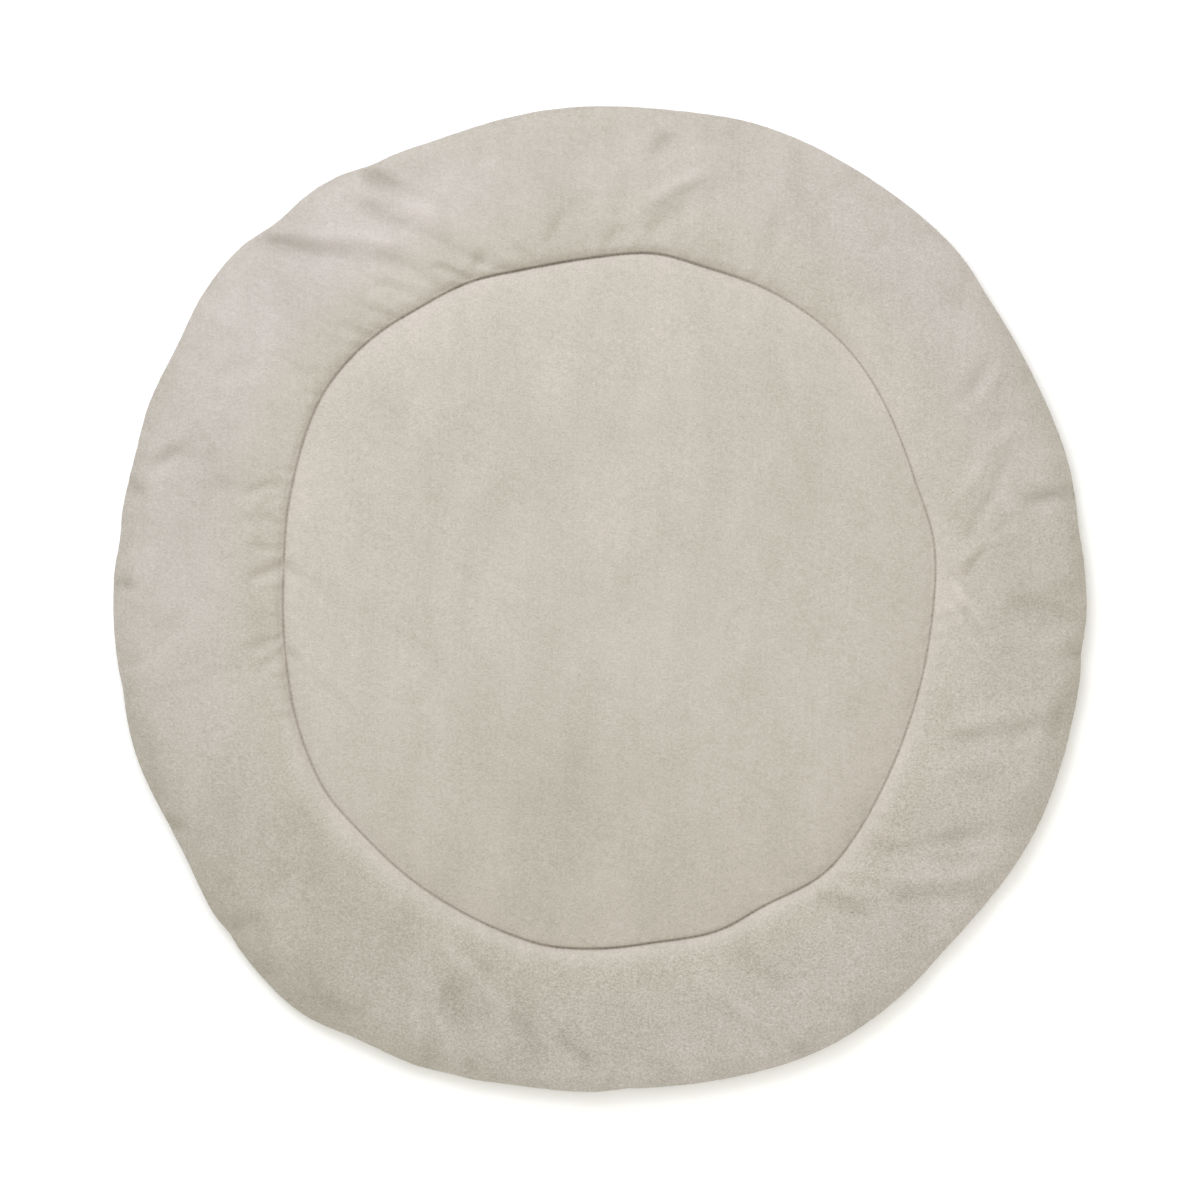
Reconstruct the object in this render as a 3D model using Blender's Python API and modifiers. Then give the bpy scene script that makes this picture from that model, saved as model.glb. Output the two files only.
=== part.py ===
"""A round padded baby play mat, lying flat.

Two round cloths of short plush are sewn to each other round the rim, turned, filled with
wadding and stitched through along one ring, which leaves a full border round a broad and
gently crowned middle. All of it is one filled solid.

Metres, +Z up. The origin is below the middle of the mat's outline, on the surface that it
lies on. A bearing is in degrees, anticlockwise from +X, and a reach is the distance from
the mat's middle.
"""

import math
from collections import namedtuple

import bmesh
import bpy
from mathutils import Vector
from mathutils.geometry import intersect_point_line

MM = 0.001

# Driving dimensions
RIM_RADIUS = 450 * MM
SEAM_RADIUS = 312 * MM
BORDER_WIDTH = RIM_RADIUS - SEAM_RADIUS
RIM_HEIGHT = 11 * MM

# How finely the turned shape is divided
SPOKES = 108
FINE_FROM_REACH = 320 * MM
FINE_FROM_HEIGHT = 10 * MM
FINE_RIM_REACH = 435 * MM
SAME = 0.05 * MM

# How much of a wider or narrower border shows in its height
FULLNESS_SHARE = 0.6

# Broad, shallow unevenness of the wadding in the border
Wave = namedtuple("Wave", "waves_round bearing rise")
WADDING_WAVES = (
    Wave(5, 40, 1.2 * MM),
    Wave(11, 100, 0.8 * MM),
)
RIM_WAVES = (
    Wave(4, 70, 1.0 * MM),
    Wave(13, 15, 0.8 * MM),
)

# Half of the mat's section, from the middle over the top and the rim to the underside
Section = namedtuple("Section", "reach height")
SECTIONS = (
    Section(0, 27.4),
    Section(140, 27.3),
    Section(215, 27.1),
    Section(255, 26.6),
    Section(275, 25.6),
    Section(288, 24.3),
    Section(298, 22.9),
    Section(305, 21.6),
    Section(309.5, 20.4),
    Section(312, 12.0),
    Section(314.5, 21.0),
    Section(318, 22.9),
    Section(323, 25.0),
    Section(330, 26.9),
    Section(341, 28.5),
    Section(358, 29.4),
    Section(384, 29.4),
    Section(404, 29.0),
    Section(419, 28.2),
    Section(430, 27.0),
    Section(438, 25.1),
    Section(444.5, 21.6),
    Section(448.5, 17.0),
    Section(450, 12.6),
    Section(450, 9.4),
    Section(440, 5.2),
    Section(424, 1.8),
    Section(406, 0.0),
    Section(345, 0.0),
    Section(325, 1.8),
    Section(312, 5.4),
    Section(300, 2.0),
    Section(285, 0.0),
)

# How far the sewn rim and the stitched ring reach round the mat, in millimetres
Reach = namedtuple("Reach", "bearing reach")
RIM = (
    Reach(0, 444),
    Reach(7, 442.5),
    Reach(16, 445),
    Reach(27, 445),
    Reach(38, 449),
    Reach(44, 455.5),
    Reach(56, 456.5),
    Reach(71, 457.5),
    Reach(82, 451.5),
    Reach(95, 450),
    Reach(109, 445.5),
    Reach(116, 449),
    Reach(124, 456.5),
    Reach(130, 455),
    Reach(136, 460),
    Reach(143, 457.5),
    Reach(149, 450.5),
    Reach(157, 449),
    Reach(163, 444.5),
    Reach(180, 444.5),
    Reach(190, 444.5),
    Reach(199, 447),
    Reach(208, 444),
    Reach(213, 446.5),
    Reach(220, 456.5),
    Reach(226, 461),
    Reach(232, 466),
    Reach(236, 465),
    Reach(241, 458),
    Reach(250, 457),
    Reach(260, 450),
    Reach(268, 449.5),
    Reach(276, 448),
    Reach(288, 454),
    Reach(296, 458),
    Reach(306, 455),
    Reach(316, 448),
    Reach(332, 450),
    Reach(340, 447),
    Reach(350, 444),
)
SEAM = (
    Reach(0, 304),
    Reach(10, 309),
    Reach(20, 306.5),
    Reach(30, 311.5),
    Reach(40, 318.5),
    Reach(48, 322),
    Reach(62, 321),
    Reach(73, 317.5),
    Reach(81, 320),
    Reach(90, 312.5),
    Reach(102, 308.5),
    Reach(113, 313.5),
    Reach(121, 312.5),
    Reach(131, 316.5),
    Reach(143, 315),
    Reach(150, 308.5),
    Reach(157, 301.5),
    Reach(165, 295.5),
    Reach(172, 290.5),
    Reach(180, 289),
    Reach(190, 291),
    Reach(200, 297),
    Reach(210, 303),
    Reach(216, 306),
    Reach(224, 304),
    Reach(235, 307.5),
    Reach(245, 311),
    Reach(254, 315.5),
    Reach(261, 319.5),
    Reach(271, 318),
    Reach(280, 316.5),
    Reach(290, 321),
    Reach(298, 316),
    Reach(309, 323),
    Reach(316, 318),
    Reach(325, 310),
    Reach(334, 304.5),
    Reach(345, 301.5),
    Reach(355, 302.5),
)

# Puckers that draw the rim in, with the bearing either side in degrees
Pucker = namedtuple("Pucker", "bearing depth spread")
RIM_PUCKERS = (
    Pucker(9, 2, 1.5),
    Pucker(118, 3, 1.5),
    Pucker(131, 3, 1.5),
    Pucker(173, 3, 1.8),
    Pucker(191, 2, 1.5),
    Pucker(222, 4, 1.4),
    Pucker(252, 2.5, 1.4),
    Pucker(273, 2, 1.5),
    Pucker(354, 4, 1.2),
)

# Folds across the border: a ridge has a rise over 0 and a trough one under 0, in millimetres
Fold = namedtuple("Fold", "bearing reach end_bearing end_reach rise spread")
FOLDS = (
    Fold(133, 440, 121, 356, -5, 14),
    Fold(121, 356, 117, 322, -4, 11),
    Fold(129, 432, 117, 362, 4, 15),
    Fold(119, 434, 116, 404, -4, 12),
    Fold(121, 420, 110, 326, -4, 12),
    Fold(116, 414, 110, 352, 4, 13),
    Fold(163, 428, 161, 404, -4, 13),
    Fold(164, 355, 161, 306, -3, 10),
    Fold(177, 350, 176, 300, -3, 10),
    Fold(184, 352, 184, 300, -2, 10),
    Fold(190, 350, 191, 305, -3, 10),
    Fold(84, 410, 80, 428, -3, 12),
    Fold(84, 350, 77, 394, 4, 15),
    Fold(90, 330, 84, 368, -4, 12),
    Fold(5, 318, 8, 372, 3, 11),
    Fold(7, 322, 14, 380, 3, 11),
    Fold(3, 318, 354, 370, 3, 11),
    Fold(14, 400, 12, 442, -5, 14),
    Fold(359, 385, 359, 440, -4, 14),
    Fold(354, 404, 354, 441, 3, 10),
    Fold(344, 410, 344, 440, -3, 12),
    Fold(21, 334, 21, 402, -3, 12),
    Fold(26, 356, 31, 408, -3, 12),
    Fold(320, 326, 332, 434, -4, 11),
    Fold(314, 330, 328, 432, -4, 11),
    Fold(310, 342, 325, 427, -4, 11),
    Fold(258, 384, 264, 426, -4, 12),
    Fold(265, 386, 269, 424, -3, 12),
    Fold(285, 358, 290, 436, -3, 13),
    Fold(244, 330, 253, 384, 4, 15),
    Fold(249, 400, 250, 440, -3, 15),
)

PLUSH_COLOUR = (0.56, 0.52, 0.44, 1.0)
PLUSH_ROUGHNESS = 0.95


def clear_scene():
    """Removes every object of the scene."""
    for thing in list(bpy.data.objects):
        bpy.data.objects.remove(thing, do_unlink=True)


def polar(bearing, reach):
    """The point at a bearing in degrees and a reach, in plan."""
    angle = math.radians(bearing)
    return Vector((reach * math.cos(angle), reach * math.sin(angle), 0))


def reach_round(rows, bearing):
    """Reads a smooth closed curve through a table of reaches, at any bearing."""
    bearing %= 360
    last = max(i for i, row in enumerate(rows) if row.bearing <= bearing)
    near = []
    for step in (-1, 0, 1, 2):
        turns, index = divmod(last + step, len(rows))
        near.append((rows[index].bearing + 360 * turns, rows[index].reach * MM))
    (b0, r0), (b1, r1), (b2, r2), (b3, r3) = near
    span = b2 - b1
    start_slope = (r2 - r0) / (b2 - b0) * span
    end_slope = (r3 - r1) / (b3 - b1) * span
    t = (bearing - b1) / span
    blend = t * t * (3 - 2 * t)
    bends = t * (1 - t) * ((1 - t) * start_slope - t * end_slope)
    return r1 + blend * (r2 - r1) + bends


def waves(rows, bearing):
    """Adds up the waves of a table at a bearing."""
    return sum(
        row.rise * math.sin(row.waves_round * math.radians(bearing - row.bearing))
        for row in rows
    )


def rim_draw_in(bearing):
    """How far the puckers pull the rim in at a bearing."""
    total = 0
    for pucker in RIM_PUCKERS:
        apart = (bearing - pucker.bearing + 180) % 360 - 180
        total += pucker.depth * MM * math.exp(-((apart / pucker.spread) ** 2))
    return total


def fold_rise(place):
    """How far the folds lift or press the border's top at a place in plan."""
    total = 0
    for fold in FOLDS:
        start = polar(fold.bearing, fold.reach * MM)
        end = polar(fold.end_bearing, fold.end_reach * MM)
        nearest, along = intersect_point_line(place, start, end)
        if along < 0:
            nearest = start
        elif along > 1:
            nearest = end
        apart = (place - nearest).length / (fold.spread * MM)
        total += fold.rise * MM * math.exp(-(apart**2))
    return total


def shaped(point):
    """Moves a point of the evenly turned shape to where it lies on the real mat."""
    bearing = math.degrees(math.atan2(point.y, point.x)) % 360
    even_reach = math.hypot(point.x, point.y)
    height = point.z
    seam = reach_round(SEAM, bearing)
    if even_reach <= SEAM_RADIUS:
        place = polar(bearing, even_reach * seam / SEAM_RADIUS)
        return place + Vector((0, 0, height))
    across = (even_reach - SEAM_RADIUS) / BORDER_WIDTH
    rim = reach_round(RIM, bearing) - rim_draw_in(bearing)
    place = polar(bearing, seam + across * (rim - seam))
    middle = math.sin(math.pi * min(across, 1))
    if height > RIM_HEIGHT:
        fullness = (rim - seam) / BORDER_WIDTH - 1
        height *= 1 + FULLNESS_SHARE * fullness * middle
        height += waves(WADDING_WAVES, bearing) * middle
        height += fold_rise(place) * math.sqrt(middle)
    lifted = min(height / RIM_HEIGHT, 1)
    height += waves(RIM_WAVES, bearing) * lifted * across**6
    return place + Vector((0, 0, height))


def turned_section():
    """Turns the half section round the mat's middle and returns the mesh."""
    profile = bpy.data.meshes.new("section")
    points = [(row.reach * MM, 0, row.height * MM) for row in SECTIONS]
    edges = [(i, i + 1) for i in range(len(points) - 1)]
    profile.from_pydata(points, edges, [])
    helper = bpy.data.objects.new("section", profile)
    bpy.context.scene.collection.objects.link(helper)
    screw = helper.modifiers.new("turn", "SCREW")
    screw.steps = SPOKES
    screw.render_steps = SPOKES
    screw.use_merge_vertices = True
    screw.merge_threshold = 0.01 * MM
    bpy.context.view_layer.update()
    graph = bpy.context.evaluated_depsgraph_get()
    mesh = bpy.data.meshes.new_from_object(helper.evaluated_get(graph))
    bpy.data.objects.remove(helper, do_unlink=True)
    bpy.data.meshes.remove(profile)
    return mesh


def runs_round(edge):
    """Tells whether an edge runs round the mat, not across it."""
    first, second = (vertex.co for vertex in edge.verts)
    same_reach = abs(math.hypot(*first.xy) - math.hypot(*second.xy)) < SAME
    return same_reach and abs(first.z - second.z) < SAME


def needs_fine_steps(edge):
    """Tells whether an edge lies on the border's top or on the rim."""
    place = edge.verts[0].co
    reach = math.hypot(*place.xy)
    on_top = reach > FINE_FROM_REACH and place.z > FINE_FROM_HEIGHT
    return on_top or reach > FINE_RIM_REACH


def refine_border(bm):
    """Halves the steps round the border's top and the rim, where the folds are."""
    edges = [edge for edge in bm.edges if runs_round(edge) and needs_fine_steps(edge)]
    made = bmesh.ops.subdivide_edges(bm, edges=edges, cuts=1, use_grid_fill=True)
    for item in made["geom_inner"]:
        if isinstance(item, bmesh.types.BMVert):
            item.co.xy /= math.cos(math.pi / SPOKES)


def close_underside(bm):
    """Fills the flat middle of the underside, on which the mat rests."""
    open_edges = [edge for edge in bm.edges if edge.is_boundary]
    bmesh.ops.contextual_create(bm, geom=open_edges)


def centre_outline(bm):
    """Brings the middle of the outline over the origin."""
    for axis in (0, 1):
        places = [vertex.co[axis] for vertex in bm.verts]
        middle = (min(places) + max(places)) / 2
        for vertex in bm.verts:
            vertex.co[axis] -= middle


def plush_material():
    """Short sand-coloured plush."""
    material = bpy.data.materials.new("sand_plush")
    material.use_nodes = True
    shader = material.node_tree.nodes["Principled BSDF"]
    shader.inputs["Base Color"].default_value = PLUSH_COLOUR
    shader.inputs["Roughness"].default_value = PLUSH_ROUGHNESS
    shader.inputs["Metallic"].default_value = 0
    return material


def build_play_mat(collection):
    """The filled mat: middle, stitched channel, full border, drawn-in rim and underside."""
    mesh = turned_section()
    mesh.name = "play_mat"
    bm = bmesh.new()
    bm.from_mesh(mesh)
    close_underside(bm)
    refine_border(bm)
    for vertex in bm.verts:
        vertex.co = shaped(vertex.co)
    centre_outline(bm)
    bmesh.ops.triangulate(bm, faces=bm.faces)
    bmesh.ops.recalc_face_normals(bm, faces=bm.faces)
    bm.to_mesh(mesh)
    bm.free()
    mesh.shade_smooth()
    mesh.materials.append(plush_material())
    collection.objects.link(bpy.data.objects.new("play_mat", mesh))


def main():
    clear_scene()
    collection = bpy.data.collections.new("Baby play mat")
    bpy.context.scene.collection.children.link(collection)
    build_play_mat(collection)


main()
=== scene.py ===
"""A round padded baby play mat of short sand-coloured plush, lying flat on a pale floor.

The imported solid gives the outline, the crowns, the main folds and the stitched ring. The
scene lays a fine net of cloth over it, fills it with a cloth simulation, adds the creases
and puckers, sinks the stitched ring and sews it with thread.
"""

import math
from collections import namedtuple

import bmesh
import bpy
import numpy as np
from mathutils import Matrix, Vector, noise
from mathutils.bvhtree import BVHTree


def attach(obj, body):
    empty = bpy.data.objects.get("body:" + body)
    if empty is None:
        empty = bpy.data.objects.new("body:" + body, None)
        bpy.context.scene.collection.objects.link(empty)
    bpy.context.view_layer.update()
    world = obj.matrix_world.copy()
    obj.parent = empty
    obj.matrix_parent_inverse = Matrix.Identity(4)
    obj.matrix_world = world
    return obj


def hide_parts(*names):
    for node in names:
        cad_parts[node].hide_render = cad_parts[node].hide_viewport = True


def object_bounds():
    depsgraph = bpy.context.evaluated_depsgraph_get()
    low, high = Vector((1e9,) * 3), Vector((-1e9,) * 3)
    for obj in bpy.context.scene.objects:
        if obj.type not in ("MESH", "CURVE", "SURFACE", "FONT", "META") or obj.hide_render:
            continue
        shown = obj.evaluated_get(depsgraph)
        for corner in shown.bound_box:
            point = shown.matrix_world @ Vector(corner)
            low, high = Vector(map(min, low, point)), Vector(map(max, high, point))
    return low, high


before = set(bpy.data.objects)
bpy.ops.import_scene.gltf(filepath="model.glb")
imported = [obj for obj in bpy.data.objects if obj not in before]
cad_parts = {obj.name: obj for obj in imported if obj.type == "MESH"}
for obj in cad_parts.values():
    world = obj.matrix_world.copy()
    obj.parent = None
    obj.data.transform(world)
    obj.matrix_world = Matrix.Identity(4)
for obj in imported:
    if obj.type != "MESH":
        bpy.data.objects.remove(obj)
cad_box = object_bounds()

bl_info = {
    "name": "Padded Play Mat",
    "version": (1, 0, 0),
    "blender": (4, 5, 0),
    "location": "View3D > Sidebar > Play Mat",
    "description": "Builds a round padded plush play mat with one stitched ring",
    "category": "Add Mesh",
}

MM = 0.001
SOLID = "play_mat"

# The photograph is 1200 pixels square, and the mat spans 986 of them from top to bottom
PHOTO_PIXELS = 1200
PHOTO_MAT_PIXELS = 986
PHOTO_MAT_CENTRE = (600, 599)

# Layout of the net: a square net fills the middle, and rings run from it over the rim
FIRST_SPOKE = -math.pi / 4
MIDDLE_MARGIN = 16 * MM
RIM_GROOVE = 1.2 * MM
FRAMES = 20
BAND = 4 * MM

# Where on the solid the stitched ring and the rim are looked for
SEAM_REACHES = np.arange(0.275, 0.345, 0.0005)
RIM_HEIGHTS = np.arange(6, 18, 0.5) * MM

# How the rings follow each other: from close to the stitching, wider apart by growth
Rings = namedtuple("Rings", "first growth widest")
TOP_RINGS = Rings(0.6 * MM, 1.35, 5 * MM)
UNDERSIDE_RINGS = Rings(4 * MM, 1.7, 24 * MM)

# Within the shoulder the cloth leaves the solid's channel and turns down into the slot
SHOULDER = 4 * MM
SHOULDER_DIP = 1.5 * MM
SLACK_DIP = 0.4

# Over how many of its widths a crease dies away, either side of its ends
CREASE_FADE = 1.6

# A crease is read from its shade, which falls on the side of the crease that is nearer to
# the light. So the crease itself lies further from the light, by a share of its width.
AWAY_FROM_LIGHT = 298
SHADE_SHARE = 0.6

# How much lighter a ridge 1 mm high that runs along the light is painted, and a trough as much
# darker: painted light and shade
CREASE_PAINTED_LIGHT = 0.2

# Fine wrinkles of the plush, painted as light and shade: the way that they run, and how long and
# wide they are
WRINKLE_SLANT = math.radians(-28)
WRINKLE_SIZE = (45 * MM, 4.5 * MM, 4.5 * MM)

# Creases wander sideways by up to this much, and their depth changes along them by a share
CREASE_WANDER = 6 * MM
CREASE_WANDER_PITCH = 40 * MM
CREASE_UNEVEN = 0.6

# How far the small puckers run: out from the stitching, in from it, and in from the rim
PUCKERS_OUTSIDE = 20 * MM
PUCKERS_INSIDE = 8 * MM
PUCKERS_BY_RIM = 14 * MM
SEAM_SEED, RIM_SEED = 3, 8
RIM_TO_SEAM = 1.4

# How far from the stitching or the rim each part of the painted tone starts or dies away
BORDER_TONE = 30 * MM
BY_SEAM_PAINTED_LIGHT = 11 * MM
BY_RIM_PAINTED_LIGHT = 24 * MM
INSIDE_TONE = 16 * MM
BESIDE_SLOT = 2 * MM
TONE_EDGE = 20 * MM
PAINTED_SHEEN_FADE = 60 * MM

# Names of the values that the net's points carry
FROM_SEAM = "from_seam"
SIDE = "side"
# Painted shade among the tufts of the border
PAINTED_GRAIN_SHADE = "painted_grain_shade"
# Tone of the top, with painted light and shade in it
TONE_AND_PAINTED_LIGHT = "nap"
# Share of the painted cool sheen
PAINTED_SHEEN_SHARE = "cool"

# How hard the thread pulls round the ring, as a share of the full depth of its slot
Pull = namedtuple("Pull", "bearing share")
PULLS = (
    Pull(0, 0.12),
    Pull(10, 0.08),
    Pull(48, 0.08),
    Pull(60, 0.3),
    Pull(72, 0.7),
    Pull(90, 0.85),
    Pull(102, 1.0),
    Pull(112, 0.85),
    Pull(122, 0.6),
    Pull(136, 0.5),
    Pull(150, 0.3),
    Pull(200, 0.3),
    Pull(225, 0.18),
    Pull(240, 0.2),
    Pull(258, 0.45),
    Pull(272, 0.7),
    Pull(290, 0.5),
    Pull(305, 0.4),
    Pull(320, 0.1),
    Pull(345, 0.1),
)

# How steeply the border rises beside the stitching, as a share of its full shoulder
Shoulder = namedtuple("Shoulder", "bearing share")
SHOULDERS = (
    Shoulder(0, 0.6),
    Shoulder(25, 0.4),
    Shoulder(50, 0.15),
    Shoulder(75, 0.5),
    Shoulder(100, 0.5),
    Shoulder(125, 0.2),
    Shoulder(150, 0.3),
    Shoulder(180, 0.5),
    Shoulder(205, 0.8),
    Shoulder(230, 0.9),
    Shoulder(270, 1.0),
    Shoulder(315, 1.0),
    Shoulder(345, 0.8),
)

# How much the top is painted lighter or darker inside the stitching, on the border as a whole,
# beside the stitching and by the rim. It looks lighter over 0 and darker under 0. Beside the
# stitching and by the rim this is painted light and shade, in place of the shading of their slopes.
# The last column is how much painted cool sheen the border has.
PaintedTone = namedtuple("PaintedTone", "bearing inside border by_seam by_rim cool")
PAINTED_TONES = (
    PaintedTone(0, 0.08, -0.1, 0.38, -0.15, 0.15),
    PaintedTone(45, 0.25, 0.0, 0.1, -0.1, 0.5),
    PaintedTone(90, 0.22, -0.1, -0.05, -0.28, 0.2),
    PaintedTone(130, 0.1, -0.04, -0.08, -0.36, 0.6),
    PaintedTone(180, 0.0, -0.12, -0.15, -0.3, 0.45),
    PaintedTone(225, -0.05, -0.3, 0.4, -0.1, 0.1),
    PaintedTone(270, 0.08, -0.15, 0.2, 0.15, 0.35),
    PaintedTone(315, -0.05, -0.1, 0.32, 0.15, 0.35),
)

# Broad patches of the middle that are painted lighter or darker, in millimetres. They look lighter
# over 0 and darker under 0.
Patch = namedtuple("Patch", "bearing reach spread lean")
PATCHES = (
    Patch(268, 215, 120, -0.19),
    Patch(130, 150, 75, -0.12),
    Patch(160, 40, 70, 0.07),
)

# The painted cool sheen, as what it makes of linear red, green and blue
PAINTED_COOL_SHEEN = (1.0, 0.995, 1.09, 1.0)

# How strongly the tips of the pile show, and how much more so where shade among the tufts is
# painted
GRAIN_WEIGHT = 1.9
GRAIN_SHADE_WEIGHT = 1.6

# How often stroked patches come in a metre: broad ones, and hand-sized ones by axis
BROAD_PATCHES = 7
HAND_PATCHES = (26, 13, 13)

FLOOR_RADIUS = 12

# How much more shade among the tufts is painted round the border, which shows as a stronger grain
# where the border faces away from the light. Under 0 it is painted weaker than in the middle of the
# mat.
Pile = namedtuple("Pile", "bearing share")
PAINTED_GRAIN_SHADES = (
    Pile(0, 0.4),
    Pile(40, 0.2),
    Pile(90, -0.2),
    Pile(130, -0.35),
    Pile(160, -0.1),
    Pile(230, 0.4),
    Pile(265, 0.9),
    Pile(320, 1.0),
    Pile(345, 0.7),
)

# How gathered the border's cloth is round the mat, from 0, smooth, to 1, and how far its
# puckers lean aside as they run out from the stitching
Gather = namedtuple("Gather", "bearing share lean")
GATHERS = (
    Gather(0, 0.9, 0.3),
    Gather(25, 0.7, 0.8),
    Gather(60, 0.2, 0),
    Gather(85, 0.5, -0.8),
    Gather(100, 0.8, 0.6),
    Gather(120, 1.2, 0.8),
    Gather(145, 0.7, 0.5),
    Gather(170, 1.1, 0.1),
    Gather(195, 0.9, -0.2),
    Gather(225, 0.3, 0),
    Gather(255, 0.5, 0.3),
    Gather(290, 0.6, 0.3),
    Gather(315, 0.9, 0.4),
    Gather(340, 0.7, 0.3),
)

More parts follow.
